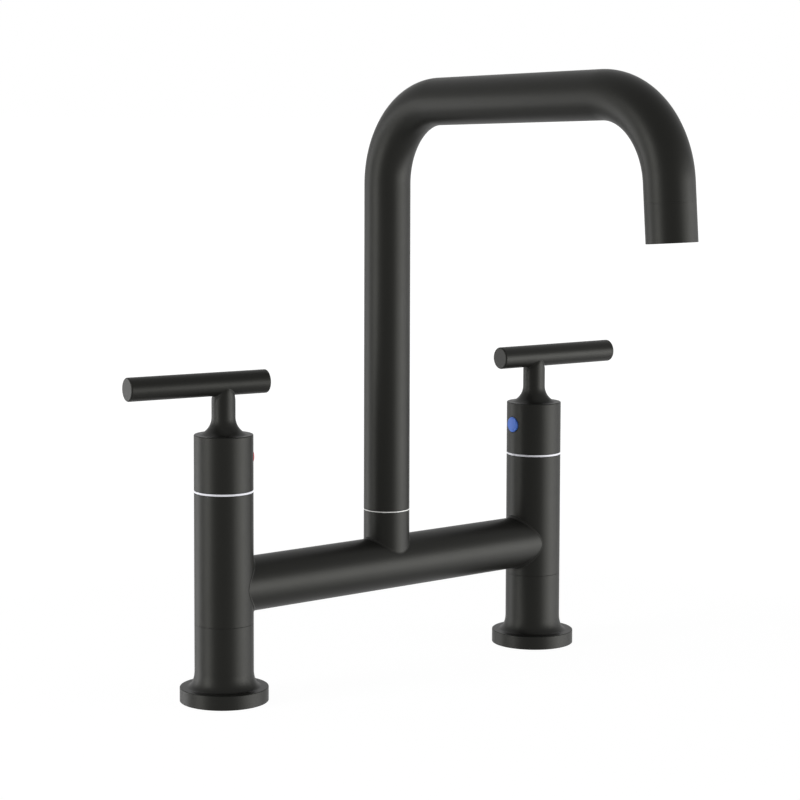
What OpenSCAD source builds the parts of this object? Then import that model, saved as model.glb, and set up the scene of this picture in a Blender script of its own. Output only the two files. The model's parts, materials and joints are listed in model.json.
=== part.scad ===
// Bridge kitchen faucet: two columns on flared feet, joined by a bridge tube that carries
// a square-arched swivel spout, with a quarter-turn T-bar lever on top of each column.
// Origin on the deck, midway between the columns. +X runs from the hot to the cold column,
// -Y points at the sink and +Z is up. Lengths are millimetres and angles are degrees.

/* [Layout] */
// Distance between the axes of the two columns
centres = 203.2; // [180:0.1:230]
// Height of the seam between each foot and its column body
seam_h = 38; // [34:0.1:39]
// Height of the bridge's axis
bridge_h = 55.3; // [52:0.1:58]
// Height of each column body's top
column_h = 102; // [99:0.1:115]
// Distance from the bridge's axis up to the spout socket's top
socket_l = 27.45; // [25:0.05:33]
// Height of the spout arm's axis where the first bend ends
arm_h = 290; // [220:0.1:380]
// Distance from the swivel axis to the top of the spout's drop
reach = 196; // [140:1:240]

/* [Tubes] */
// Diameter of the columns and of the handle caps
column_d = 28.8; // [28:0.1:31]
// Diameter of the bridge tube
bridge_d = 26.7; // [25:0.1:27]
// Diameter of the spout
spout_d = 23.3; // [22:0.1:26]
// Wall of the bridge tube
bridge_wall = 2.5; // [2:0.1:3]
// Wall of the spout tube
spout_wall = 1.5; // [1:0.1:2]

/* [Spout] */
// Radius of both bends, at the tube's axis
bend_r = 41.5; // [30:0.5:60]
// Rise of the arm above the level
arm_rise = 1.7; // [0:0.1:8]
// Lean of the drop, out from the plumb line
drop_lean = 4.4; // [0:0.1:8]
// Length of the straight drop below the second bend
drop_l = 27; // [26:0.5:60]
// Length of the nozzle sleeve at the end of the drop
nozzle_l = 17.8; // [16:0.1:20]
// Length of the nozzle's spigot inside the spout tube
nozzle_spigot_l = 7; // [4:0.5:8]
// Wall of the nozzle's spigot
nozzle_spigot_wall = 1; // [0.8:0.1:1.5]
// Chamfer on each side of the nozzle's seam and round its lip
nozzle_chamfer = 0.3; // [0.1:0.05:0.5]

/* [Aerator] */
// Length of the aerator's threaded ring
aerator_ring_l = 9; // [8:0.5:11]
// Wall of the aerator's threaded ring
aerator_ring_wall = 1.4; // [1:0.1:2]
// Distance that the aerator's ring sits inside the lip
aerator_recess = 0.4; // [0:0.1:1]
// Wall of the nozzle round the aerator
nozzle_wall = 1.3; // [1:0.1:2]
// Thickness of the washer above the aerator
aerator_gasket_t = 1.8; // [1:0.1:3]
// Width of the washer's face
aerator_gasket_w = 2.6; // [2:0.1:4]
// Thickness of the outlet screen
screen_t = 1.6; // [1:0.1:2.5]
// Distance between the openings of the outlet screen
screen_pitch = 1.9; // [1.6:0.1:3]
// Width of the bars between the screen's openings
screen_bar = 0.5; // [0.4:0.05:0.7]
// Width of the screen's solid edge
screen_edge = 0.9; // [0.6:0.1:1.5]
// Diameter of each jet hole in the insert
jet_d = 1.9; // [1:0.1:3]
// Number of jet holes in the insert
jet_count = 6; // [4:1:8]

/* [Foot] */
// Diameter of the flange on the deck
foot_d = 43.2; // [41:0.1:50]
// Height of the flange's side
foot_rim_h = 6.9; // [5:0.1:9]
// Radius of the cove between flange and column
foot_cove_r = 11; // [7:0.1:13]
// Turn of the cove's arc
foot_cove_turn = 46; // [35:1:60]
// Chamfer on the flange's edges
foot_chamfer = 0.4; // [0.2:0.1:1]
// Diameter of the threaded socket for the supply shank
inlet_d = 19.2; // [17:0.1:20]
// Depth of the threaded socket
inlet_depth = 18; // [14:0.5:20]
// Inner diameter of the deck gasket
gasket_bore = 31; // [28:0.1:32]
// Width of the deck gasket's face
gasket_w = 4; // [3:0.1:4.5]
// Thickness of the deck gasket
gasket_t = 1.5; // [1:0.1:3]

/* [Column body] */
// Bore of the column body round the cartridge
body_bore = 23; // [22:0.1:24]
// Thickness of the floor over the foot
body_floor = 4; // [3:0.1:5]
// Depth of the valve seat below the column's top
seat_depth = 35; // [34:0.1:37]
// Thickness of the wall that carries the valve seat
seat_wall = 3; // [2:0.1:4]
// Bore of the inlet way through the floor and the valve seat
way_d = 9.2; // [8:0.1:10]
// Wall of the inlet pipe inside the column
way_wall = 2; // [1.5:0.1:2.5]
// Diameter of the return holes round the valve seat
return_d = 2; // [1.5:0.1:2.2]
// Number of return holes round the valve seat
return_count = 8; // [4:1:10]
// Diameter of the spigot that screws into the foot
spigot_d = 22.8; // [21:0.1:23]
// Length of the spigot that screws into the foot
spigot_l = 13; // [10:0.5:15]
// Bore of the spigot
spigot_bore = 17; // [15:0.1:18]
// Diameter of the bridge's ends inside the columns
port_d = 18.2; // [16:0.1:20]
// Bore of the bridge's ends
port_bore = 15.2; // [12:0.1:16]
// Length of the narrow bore at each end of the bridge
port_l = 9; // [6:0.5:12]

/* [Cartridge] */
// Diameter of the cartridge's barrel
barrel_d = 18; // [17:0.1:18.4]
// Wall of the cartridge's barrel
barrel_wall = 1.5; // [1.2:0.1:1.8]
// Thickness of the barrel's shoulder
shoulder_t = 4; // [3:0.1:5]
// Gap between the barrel's foot and the valve seat
barrel_lift = 0.6; // [0.3:0.1:1]
// Thickness of the seat seal
seal_t = 3; // [2:0.1:4]
// Bore of the seat seal
seal_bore = 10; // [9:0.1:11]
// Thickness of the fixed ceramic disc
fixed_disc_t = 3; // [2:0.1:4]
// Thickness of the moving ceramic disc
moving_disc_t = 2.8; // [2:0.1:4]
// Diameter of each port in the fixed disc
disc_port_d = 3.8; // [3:0.1:4.5]
// Distance of the ports from the cartridge's axis
disc_port_offset = 4; // [3.5:0.1:5]
// Thickness of the spindle's drive plate
drive_t = 3.4; // [3:0.1:5]
// Width of the tongue that drives the moving disc
tongue_w = 3; // [2:0.1:3.5]
// Height of the tongue
tongue_h = 1.2; // [0.8:0.1:1.5]
// Diameter of the water windows in the barrel
window_d = 4.4; // [3:0.1:5]
// Number of water windows in the barrel
window_count = 4; // [3:1:5]
// Thickness of the bonnet nut
nut_t = 8; // [6:0.5:9]
// Bore of the bonnet nut
nut_bore = 12; // [10:0.1:14]
// Width of the wrench slots in the bonnet nut
nut_slot_w = 3; // [2:0.1:4]
// Depth of the wrench slots in the bonnet nut
nut_slot_depth = 2; // [1:0.1:3]

/* [Spindle] */
// Diameter of the spindle's shaft
shaft_d = 9; // [8:0.1:10]
// Diameter over the spindle's splines
spline_d = 8; // [7:0.1:8.4]
// Depth of the splines
spline_depth = 0.5; // [0.3:0.05:0.7]
// Number of splines
spline_count = 20; // [12:4:24]
// Length of the splines inside the handle
spline_l = 18; // [17:0.5:20]
// Thickness of the spindle's seal rings
spindle_ring_t = 1; // [0.8:0.1:1.2]
// Distance between the spindle's seal rings
spindle_ring_gap = 2.4; // [2:0.1:3]

/* [Handle] */
// Thickness of the white glide ring that shows between column and handle
glide_t = 1; // [0.6:0.1:2]
// Depth of the glide ring's lip inside the column
glide_lip_l = 2; // [1:0.1:2.5]
// Wall of the glide ring's lip
glide_lip_w = 1; // [0.8:0.1:1.5]
// Width of the glide ring's face
glide_w = 3.6; // [3.2:0.1:4.5]
// Height of the handle's cap
cap_h = 27; // [25:0.1:35]
// Chamfer round the cap's top edge
cap_chamfer = 0.5; // [0.2:0.1:1.5]
// Diameter of the hollow under the cap
cap_hollow_d = 23; // [20:0.1:24]
// Depth of the hollow under the cap
cap_hollow_h = 5; // [3:0.1:7]
// Diameter of the handle's neck
neck_d = 11.6; // [10:0.1:12]
// Distance from the cap's top up to the lever's axis
neck_l = 24.5; // [18:0.1:30]
// Radius of the flare at the neck's foot
flare_r = 8.9; // [4:0.1:9]
// Turn of the flare's arc
flare_turn = 70; // [50:1:70]
// Diameter of the lever bar
lever_d = 11.5; // [11:0.1:13]
// Length of the lever from the handle's axis to its outer end
lever_long = 50.7; // [35:0.1:75]
// Length of the lever from the handle's axis to its inner end
lever_short = 23.1; // [15:0.1:40]
// Chamfer at the lever's ends
lever_chamfer = 0.5; // [0.2:0.1:1.5]
// Diameter of the neck's tenon inside the lever
tenon_d = 6; // [4:0.1:7]
// Angle by which the shut hot lever points back from the bridge's line
hot_back = 9; // [-10:0.5:15]
// Angle by which the shut cold lever points back from the bridge's line
cold_back = -4.5; // [-10:0.5:15]

/* [Index button and screw] */
// Height of the screw and button above the cap's underside
screw_h = 15.5; // [13:0.1:16]
// Diameter of the grub screw
screw_d = 5; // [4:0.1:5]
// Length of the grub screw
screw_l = 5; // [4:0.1:6]
// Width across the flats of the grub screw's socket
screw_key = 2.5; // [1.5:0.1:3]
// Depth of the grub screw's socket
screw_key_depth = 2.5; // [1.5:0.1:3]
// Diameter of the index button
button_d = 8.1; // [7:0.1:10]
// Depth of the index button's seat below the cap's side
button_depth = 2.6; // [2:0.1:3.5]
// Distance that the index button's rim stands out of its hole
button_proud = 0.2; // [0:0.05:0.5]
// Crown of the index button
button_crown = 0.4; // [0.3:0.1:1.2]

/* [Swivel joint] */
// Thickness of the pale ring that shows under the spout
swivel_ring_t = 0.5; // [0.4:0.05:1.5]
// Length of the bush inside the socket
bush_l = 9; // [7:0.5:10]
// Wall of the bush
bush_wall = 1.25; // [1:0.05:1.6]
// Diameter of the spout's nipple
nipple_d = 16; // [15:0.1:17]
// Bore of the spout's nipple
nipple_bore = 11.6; // [10:0.1:12]
// Depth of the nipple below the socket's top
nipple_depth = 20.4; // [19:0.1:21]
// Length of the nipple inside the spout tube
nipple_top_l = 14; // [8:0.5:20]
// Diameter of the socket's spigot in the bridge
socket_spigot_d = 19; // [18.8:0.1:20]
// Distance from the bridge's axis up to the end of the socket's spigot
socket_spigot_h = 6; // [4:0.1:7]
// Thickness of the nipple's seal rings
nipple_ring_t = 1.6; // [1.2:0.1:2]
// Distance between the nipple's seal rings
nipple_ring_gap = 3.2; // [2.8:0.1:3.4]
// Thickness of the snap ring that holds the spout down
snap_t = 1.2; // [0.8:0.1:1.5]
// Width of the snap ring's wire
snap_w = 1.5; // [1:0.1:1.8]
// Width of the gap in the snap ring
snap_gap = 3; // [2:0.1:5]

/* [Fits] */
// Radial clearance of each running fit
run_gap = 0.05; // [0.02:0.01:0.1]
// Radial clearance of each fixed fit
fit_gap = 0.05; // [0.02:0.01:0.1]
// Clearance between faces that slide on each other
face_gap = 0.05; // [0.02:0.01:0.1]
// Thickness of the seal ring in each foot joint
joint_ring_t = 1.7; // [1.2:0.1:2]
// Overrun of every cut
over = 1; // [0.5:0.1:2]

/* [Hidden] */
$fn = 96;
// Sides of the swept spout tube, and rings along each bend
skin_sides = 48;
bend_steps = 12;

// Radii that several pieces share
column_r = column_d / 2;
bridge_r = bridge_d / 2;
spout_r = spout_d / 2;
body_bore_r = body_bore / 2;
spout_bore_r = spout_r - spout_wall;
spout_fit_r = spout_bore_r * cos(180 / skin_sides) - fit_gap;
barrel_r = barrel_d / 2;
chamber_r = barrel_r - barrel_wall;
disc_r = chamber_r - run_gap;
shaft_r = shaft_d / 2;
neck_r = neck_d / 2;
lever_r = lever_d / 2;
nipple_r = nipple_d / 2;
screw_r = screw_d / 2;
button_r = button_d / 2;

// Heights inside each column, from the valve seat up
seat_h = column_h - seat_depth;
fixed_disc_h = seat_h + seal_t;
moving_disc_h = fixed_disc_h + fixed_disc_t + face_gap;
drive_h = moving_disc_h + moving_disc_t;
drive_top_h = drive_h + drive_t;
chamber_top_h = drive_top_h + face_gap;
nut_top_h = column_h - glide_lip_l - fit_gap;
shoulder_top_h = nut_top_h - nut_t;
cap_h0 = column_h + glide_t + face_gap;
cap_top_h = cap_h0 + cap_h;
lever_h = cap_top_h + neck_l;
screw_z = cap_h0 + screw_h;
spline_h0 = cap_h0 + cap_hollow_h / 2;

// Radial places of the grub screw and the index button, from the handle's axis
screw_tip_x = spline_d / 2;
button_seat_x = column_r - button_depth;

// Heights of the spout's joint, up from the bridge
socket_h = bridge_h + socket_l;
spout_h0 = socket_h + swivel_ring_t + face_gap;
snap_z = socket_h - bush_l - 2 * fit_gap - snap_t;
nipple_ring_z = [for (i = [1, 2]) snap_z - i * nipple_ring_gap];

// Points of the spout's centre line in the plane of the arch, as [out from the axis, height]
bend1_turn = 90 - arm_rise;
bend2_turn = 90 + arm_rise - drop_lean;
bend1_c = [bend_r, arm_h - bend_r];
bend1_end = bend1_c + bend_r * [-cos(bend1_turn), sin(bend1_turn)];
arm_dir = [cos(arm_rise), sin(arm_rise)];
arm_l = (reach - bend1_end[0] - bend_r * (sin(arm_rise) + cos(drop_lean))) / cos(arm_rise);
bend2_c = bend1_end + arm_l * arm_dir + bend_r * [sin(arm_rise), -cos(arm_rise)];
drop_dir = [sin(drop_lean), -cos(drop_lean)];
drop_start = bend2_c + bend_r * [cos(drop_lean), sin(drop_lean)];
outlet = drop_start + drop_l * drop_dir;

// Finishes
black = [0.13, 0.13, 0.125];
brass = [0.78, 0.62, 0.33];
rubber = [0.07, 0.07, 0.07];
ceramic = [0.93, 0.92, 0.88];
steel = [0.62, 0.63, 0.65];
white = [0.86, 0.86, 0.89];
hot_red = [0.72, 0.16, 0.17];
cold_blue = [0.28, 0.42, 0.78];
screen_grey = [0.45, 0.46, 0.47];

// A tube standing between two heights
module pipe(h0, h1, outer_r, inner_r) {
    difference() {
        translate([0, 0, h0]) cylinder(h = h1 - h0, r = outer_r);
        translate([0, 0, h0 - over]) cylinder(h = h1 - h0 + 2 * over, r = inner_r);
    }
}

// A seal ring of round section that fills a groove up to outer_r
module seal_ring(h, outer_r, thickness) {
    translate([0, 0, h]) rotate_extrude()
        translate([outer_r - thickness / 2, 0]) circle(d = thickness);
}

// A groove cut into a shaft for such a ring
module seal_groove(h, shaft_radius, thickness) {
    pipe(h - thickness / 2 - fit_gap, h + thickness / 2 + fit_gap,
         shaft_radius + over, shaft_radius - thickness - fit_gap);
}

// The children on the hot column, or mirrored on the cold one
module hot_side() { translate([-centres / 2, 0, 0]) children(); }
module cold_side() { mirror([1, 0, 0]) hot_side() children(); }

// The children turned with each lever, drawn with the long arm towards -X
module hot_turned() { hot_side() rotate([0, 0, -hot_back]) children(); }
module cold_turned() { cold_side() rotate([0, 0, -cold_back]) children(); }

// Section of the foot's outside, as [radius, height]: flange, cove and column
module foot_section() {
    cove_w = foot_cove_r * (1 - cos(foot_cove_turn));
    cove_h = foot_cove_r * sin(foot_cove_turn);
    polygon([
        [0, 0], [foot_d / 2 - foot_chamfer, 0], [foot_d / 2, foot_chamfer],
        [foot_d / 2, foot_rim_h - foot_chamfer], [foot_d / 2 - foot_chamfer, foot_rim_h],
        [0, foot_rim_h]
    ]);
    square([column_r, seam_h]);
    difference() {
        translate([0, foot_rim_h - foot_chamfer])
            square([column_r + cove_w, cove_h + foot_chamfer]);
        translate([column_r + foot_cove_r, foot_rim_h + cove_h]) circle(r = foot_cove_r);
    }
}

// Foot with the threaded socket below and the spigot's seat above
module foot() {
    seat_bottom = seam_h - spigot_l - fit_gap;
    color(black) difference() {
        rotate_extrude() foot_section();
        translate([0, 0, -over]) cylinder(h = inlet_depth + over, r = inlet_d / 2);
        translate([0, 0, inlet_depth - over]) cylinder(h = seam_h, r = spigot_bore / 2);
        translate([0, 0, seat_bottom]) cylinder(h = seam_h, r = spigot_d / 2 + fit_gap);
        pipe(-over, gasket_t, gasket_bore / 2 + gasket_w + fit_gap, gasket_bore / 2 - fit_gap);
    }
}

// Flat ring that seals the flange to the deck
module deck_gasket() {
    color(rubber) pipe(0, gasket_t - fit_gap, gasket_bore / 2 + gasket_w, gasket_bore / 2);
}

// Column body: outer tube, floor, inlet pipe, valve seat and the spigot into the foot
module column_body() {
    joint_h = seam_h - spigot_l / 2;
    seat_underside = seat_h - seat_wall;
    return_ring = (body_bore_r + barrel_r) / 2;
    color(black) difference() {
        union() {
            pipe(seam_h, column_h, column_r, body_bore_r);
            pipe(seam_h, seam_h + body_floor, body_bore_r + over, way_d / 2);
            pipe(seam_h, seat_h, way_d / 2 + way_wall, way_d / 2);
            difference() {
                pipe(seat_underside, seat_h, body_bore_r + over, way_d / 2);
                for (i = [0 : return_count - 1]) rotate([0, 0, (i + 1 / 2) * 360 / return_count])
                    translate([return_ring, 0, seat_underside - over])
                        cylinder(h = seat_wall + 2 * over, d = return_d);
            }
            pipe(seam_h - spigot_l, seam_h + fit_gap, spigot_d / 2, spigot_bore / 2);
        }
        seal_groove(joint_h, spigot_d / 2, joint_ring_t);
        difference() {
            translate([0, 0, bridge_h]) rotate([0, 90, 0])
                cylinder(h = column_d, r = port_d / 2 + fit_gap);
            translate([0, 0, seam_h]) cylinder(h = column_h, r = body_bore_r);
        }
    }
}

// Seal ring between the column body's spigot and the foot
module joint_seal() {
    color(rubber) seal_ring(seam_h - spigot_l / 2, spigot_d / 2, joint_ring_t);
}

// Rubber seat that the fixed disc is pressed on
module seat_seal() {
    color(rubber) pipe(seat_h, fixed_disc_h, disc_r, seal_bore / 2);
}

// Barrel that holds the discs, with water windows beside the moving disc
module cartridge_barrel() {
    window_h = moving_disc_h + window_d / 2;
    color(brass) difference() {
        union() {
            pipe(seat_h + barrel_lift, shoulder_top_h, barrel_r, chamber_r);
            pipe(chamber_top_h, shoulder_top_h, barrel_r, shaft_r + run_gap);
            pipe(shoulder_top_h - shoulder_t, shoulder_top_h, body_bore_r - fit_gap, shaft_r + run_gap);
        }
        for (i = [0 : window_count - 1]) rotate([0, 0, (i + 1 / 2) * 360 / window_count])
            translate([0, 0, window_h]) rotate([0, 90, 0]) difference() {
                cylinder(h = barrel_d, d = window_d);
                cylinder(h = chamber_r - over, d = barrel_d);
            }
    }
}

// Ceramic disc that stays in the barrel
module fixed_disc() {
    color(ceramic) difference() {
        translate([0, 0, fixed_disc_h]) cylinder(h = fixed_disc_t, r = disc_r);
        for (side = [-1, 1]) translate([0, side * disc_port_offset, fixed_disc_h - over])
            cylinder(h = fixed_disc_t + 2 * over, d = disc_port_d);
    }
}

// Ceramic disc that turns with the spindle, with side cuts that uncover the ports
module moving_disc() {
    color(ceramic) difference() {
        translate([0, 0, moving_disc_h]) cylinder(h = moving_disc_t, r = disc_r);
        for (side = [-1, 1]) translate([side * disc_r, 0, moving_disc_h - over])
            cylinder(h = moving_disc_t + 2 * over, r = disc_r - disc_port_offset + disc_port_d / 2);
        translate([0, 0, drive_h]) cube([tongue_w + 2 * fit_gap, 2 * disc_r, 2 * tongue_h], center = true);
    }
}

// Splined shaft that the handle turns, with the drive plate and tongue at its foot
module spindle() {
    ring_h = (chamber_top_h + shoulder_top_h) / 2;
    color(brass) difference() {
        union() {
            translate([0, 0, drive_h]) cylinder(h = drive_t, r = disc_r);
            translate([0, 0, drive_h]) cylinder(h = spline_h0 - drive_h, r = shaft_r);
            intersection() {
                translate([0, 0, drive_h])
                    cube([tongue_w, 2 * disc_r, 2 * (tongue_h - fit_gap)], center = true);
                translate([0, 0, moving_disc_h]) cylinder(h = drive_t + moving_disc_t, r = disc_r);
            }
            translate([0, 0, spline_h0 - fit_gap]) linear_extrude(spline_l + fit_gap) polygon([
                for (i = [0 : 2 * spline_count - 1])
                    (spline_d / 2 - (i % 2) * spline_depth)
                    * [cos(i * 180 / spline_count), sin(i * 180 / spline_count)]
            ]);
        }
        for (side = [-1, 1])
            seal_groove(ring_h + side * spindle_ring_gap / 2, shaft_r, spindle_ring_t);
    }
}

// Seal rings on the spindle
module spindle_seals() {
    ring_h = (chamber_top_h + shoulder_top_h) / 2;
    color(rubber) for (side = [-1, 1])
        seal_ring(ring_h + side * spindle_ring_gap / 2, shaft_r, spindle_ring_t);
}

// Nut that clamps the cartridge down, with four wrench slots
module bonnet_nut() {
    color(brass) difference() {
        pipe(shoulder_top_h, nut_top_h, body_bore_r - fit_gap, nut_bore / 2);
        for (turn = [0, 90])
            translate([0, 0, nut_top_h]) rotate([0, 0, turn])
                cube([body_bore + over, nut_slot_w, 2 * nut_slot_depth], center = true);
    }
}

// White ring that the handle glides on, with a lip inside the column
module glide_ring() {
    lip_r = body_bore_r - fit_gap;
    color(white) union() {
        pipe(column_h, column_h + glide_t, column_r, column_r - glide_w);
        pipe(column_h - glide_lip_l, column_h + fit_gap, lip_r, lip_r - glide_lip_w);
    }
}

// Section of the handle's cap, flare and neck, as [radius, height above the cap's underside]
module cap_section() {
    flare_w = flare_r * (1 - cos(flare_turn));
    flare_h = flare_r * sin(flare_turn);
    polygon([
        [0, 0], [column_r, 0], [column_r, cap_h - cap_chamfer],
        [column_r - cap_chamfer, cap_h], [0, cap_h]
    ]);
    square([neck_r, cap_h + neck_l]);
    difference() {
        translate([0, cap_h - cap_chamfer]) square([neck_r + flare_w, flare_h + cap_chamfer]);
        translate([neck_r + flare_r, cap_h + flare_h]) circle(r = flare_r);
    }
}

// Handle cap with its neck, hollow underneath, bored for the spindle, the screw and the button
module handle_cap() {
    spindle_bore_h = spline_h0 + spline_l + over;
    color(black) difference() {
        union() {
            difference() {
                translate([0, 0, cap_h0]) rotate_extrude() cap_section();
                translate([-column_d, 0, lever_h]) rotate([0, 90, 0])
                    cylinder(h = 2 * column_d, r = lever_r + fit_gap);
            }
            translate([0, 0, cap_top_h]) cylinder(h = neck_l, r = tenon_d / 2);
        }
        translate([0, 0, cap_h0 - over]) cylinder(h = cap_hollow_h + over, d = cap_hollow_d);
        translate([0, 0, cap_h0]) cylinder(h = spindle_bore_h - cap_h0, r = spline_d / 2 + fit_gap);
        translate([0, 0, screw_z]) rotate([0, 90, 0]) {
            cylinder(h = column_d, r = screw_r + fit_gap);
            translate([0, 0, button_seat_x]) cylinder(h = button_depth + over, r = button_r + fit_gap);
        }
    }
}

// Lever bar across the neck, with the hole for the neck's tenon
module lever_bar() {
    lever_l = lever_long + lever_short;
    color(black) difference() {
        translate([lever_short, 0, lever_h]) rotate([0, -90, 0]) rotate_extrude() polygon([
            [0, 0], [lever_r - lever_chamfer, 0], [lever_r, lever_chamfer],
            [lever_r, lever_l - lever_chamfer], [lever_r - lever_chamfer, lever_l], [0, lever_l]
        ]);
        translate([0, 0, lever_h - lever_d])
            cylinder(h = lever_d + fit_gap, r = tenon_d / 2 + fit_gap);
    }
}

// Socket screw that locks the handle to the spindle
module grub_screw() {
    color(steel) translate([screw_tip_x + face_gap, 0, screw_z]) rotate([0, 90, 0]) difference() {
        cylinder(h = screw_l, r = screw_r);
        translate([0, 0, screw_l - screw_key_depth])
            cylinder(h = screw_key_depth + over, d = screw_key / cos(30), $fn = 6);
    }
}

// Crowned button that covers the screw and marks the side
module index_button(finish) {
    body_l = button_depth + button_proud - fit_gap;
    crown_r = (button_r * button_r + button_crown * button_crown) / (2 * button_crown);
    color(finish) translate([button_seat_x + fit_gap, 0, screw_z]) rotate([0, 90, 0])
        intersection() {
            cylinder(h = body_l + button_crown, r = button_r);
            translate([0, 0, body_l + button_crown - crown_r]) sphere(r = crown_r);
        }
}

module hot_foot() { hot_side() foot(); }
module cold_foot() { cold_side() foot(); }
module hot_deck_gasket() { hot_side() deck_gasket(); }
module cold_deck_gasket() { cold_side() deck_gasket(); }
module hot_column_body() { hot_side() column_body(); }
module cold_column_body() { cold_side() column_body(); }
module hot_joint_seal() { hot_side() joint_seal(); }
module cold_joint_seal() { cold_side() joint_seal(); }
module hot_seat_seal() { hot_side() seat_seal(); }
module cold_seat_seal() { cold_side() seat_seal(); }
module hot_cartridge_barrel() { hot_side() cartridge_barrel(); }
module cold_cartridge_barrel() { cold_side() cartridge_barrel(); }
module hot_fixed_disc() { hot_side() fixed_disc(); }
module cold_fixed_disc() { cold_side() fixed_disc(); }
module hot_moving_disc() { hot_turned() moving_disc(); }
module cold_moving_disc() { cold_turned() moving_disc(); }
module hot_spindle() { hot_turned() spindle(); }
module cold_spindle() { cold_turned() spindle(); }
module hot_spindle_seals() { hot_turned() spindle_seals(); }
module cold_spindle_seals() { cold_turned() spindle_seals(); }
module hot_bonnet_nut() { hot_side() bonnet_nut(); }
module cold_bonnet_nut() { cold_side() bonnet_nut(); }
module hot_glide_ring() { hot_side() glide_ring(); }
module cold_glide_ring() { cold_side() glide_ring(); }
module hot_handle_cap() { hot_turned() handle_cap(); }
module cold_handle_cap() { cold_turned() handle_cap(); }
module hot_lever_bar() { hot_turned() lever_bar(); }
module cold_lever_bar() { cold_turned() lever_bar(); }
module hot_grub_screw() { hot_turned() grub_screw(); }
module cold_grub_screw() { cold_turned() grub_screw(); }
module hot_index_button() { hot_turned() index_button(hot_red); }
module cold_index_button() { cold_turned() index_button(cold_blue); }

// Bridge between the columns, saddled on them, with a narrow end in each port
module bridge_tube() {
    half_l = centres / 2;
    bore_half_l = half_l - column_r - port_l;
    color(black) difference() {
        union() {
            difference() {
                translate([-half_l, 0, bridge_h]) rotate([0, 90, 0])
                    cylinder(h = centres, r = bridge_r);
                for (side = [-1, 1]) translate([side * half_l, 0, 0])
                    cylinder(h = column_h, r = column_r);
            }
            difference() {
                translate([-half_l, 0, bridge_h]) rotate([0, 90, 0])
                    cylinder(h = centres, r = port_d / 2);
                for (side = [-1, 1]) translate([side * half_l, 0, 0])
                    cylinder(h = column_h, r = body_bore_r);
            }
        }
        translate([-half_l - over, 0, bridge_h]) rotate([0, 90, 0])
            cylinder(h = centres + 2 * over, r = port_bore / 2);
        translate([-bore_half_l, 0, bridge_h]) rotate([0, 90, 0])
            cylinder(h = 2 * bore_half_l, r = bridge_r - bridge_wall);
        translate([0, 0, bridge_h]) cylinder(h = bridge_d, r = socket_spigot_d / 2 + fit_gap);
    }
}

// Socket on the bridge that the spout turns in
module spout_socket() {
    bush_seat_h = socket_h - bush_l - fit_gap;
    spigot_h0 = bridge_h + socket_spigot_h;
    color(black) difference() {
        union() {
            difference() {
                translate([0, 0, bridge_h]) cylinder(h = socket_h - bridge_h, r = spout_r);
                translate([-spout_d, 0, bridge_h]) rotate([0, 90, 0])
                    cylinder(h = 2 * spout_d, r = bridge_r);
            }
            translate([0, 0, spigot_h0])
                cylinder(h = bush_seat_h - spigot_h0, r = socket_spigot_d / 2);
        }
        translate([0, 0, bridge_h]) cylinder(h = socket_h, r = nipple_r + run_gap);
        translate([0, 0, bush_seat_h])
            cylinder(h = socket_h, r = nipple_r + run_gap + bush_wall + fit_gap);
        translate([0, 0, snap_z - snap_t / 2 - face_gap])
            cylinder(h = snap_t + 2 * face_gap, r = nipple_r + run_gap + snap_w / 2);
    }
}

// Bush that lines the socket; its flange is the pale ring under the spout
module swivel_bush() {
    bush_bore = nipple_r + run_gap;
    color(white) union() {
        pipe(socket_h, socket_h + swivel_ring_t, spout_r, bush_bore);
        pipe(socket_h - bush_l, socket_h + fit_gap, bush_bore + bush_wall, bush_bore);
    }
}

// Nipple fixed in the spout's foot, which turns in the bush and the socket
module spout_nipple() {
    nipple_h0 = socket_h - nipple_depth;
    color(brass) difference() {
        union() {
            pipe(nipple_h0, spout_h0 + fit_gap, nipple_r, nipple_bore / 2);
            pipe(spout_h0, spout_h0 + nipple_top_l, spout_fit_r, nipple_bore / 2);
        }
        for (z = nipple_ring_z) seal_groove(z, nipple_r, nipple_ring_t);
        pipe(snap_z - snap_t / 2 - face_gap, snap_z + snap_t / 2 + face_gap,
             nipple_r + over, nipple_r - snap_w / 2 - fit_gap);
    }
}

// Seal rings on the nipple
module nipple_seals() {
    color(rubber) for (z = nipple_ring_z) seal_ring(z, nipple_r, nipple_ring_t);
}

// Split ring in the nipple's groove that also reaches into the socket's groove
module snap_ring() {
    color(steel) difference() {
        pipe(snap_z - snap_t / 2, snap_z + snap_t / 2, nipple_r + snap_w / 2 - run_gap,
             nipple_r - snap_w / 2);
        translate([0, nipple_r, snap_z]) cube([snap_gap, nipple_d, 2 * snap_t], center = true);
    }
}

// Points of a ring of the spout's skin at one station of the centre line
function skin_ring(station, radius) = let (at = station[0], turn = station[1]) [
    for (k = [0 : skin_sides - 1]) let (
        side = radius * cos(k * 360 / skin_sides),
        out = radius * sin(k * 360 / skin_sides)
    ) [side, out * cos(turn) - at[0], at[1] + out * sin(turn)]
];

// Faces between one ring of points and the next, for both rings of each skin
function skin_faces(first, count, flip) = [
    for (i = [0 : count - 2], k = [0 : skin_sides - 1]) let (
        a = first + i * skin_sides,
        next = (k + 1) % skin_sides,
        face = [a + k, a + next, a + skin_sides + next, a + skin_sides + k]
    ) flip ? [face[3], face[2], face[1], face[0]] : face
];

// Faces of the flat end between the outer and the inner ring
function end_faces(outer, inner, flip) = [
    for (k = [0 : skin_sides - 1]) let (
        next = (k + 1) % skin_sides,
        face = [outer + k, inner + k, inner + next, outer + next]
    ) flip ? [face[3], face[2], face[1], face[0]] : face
];

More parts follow.
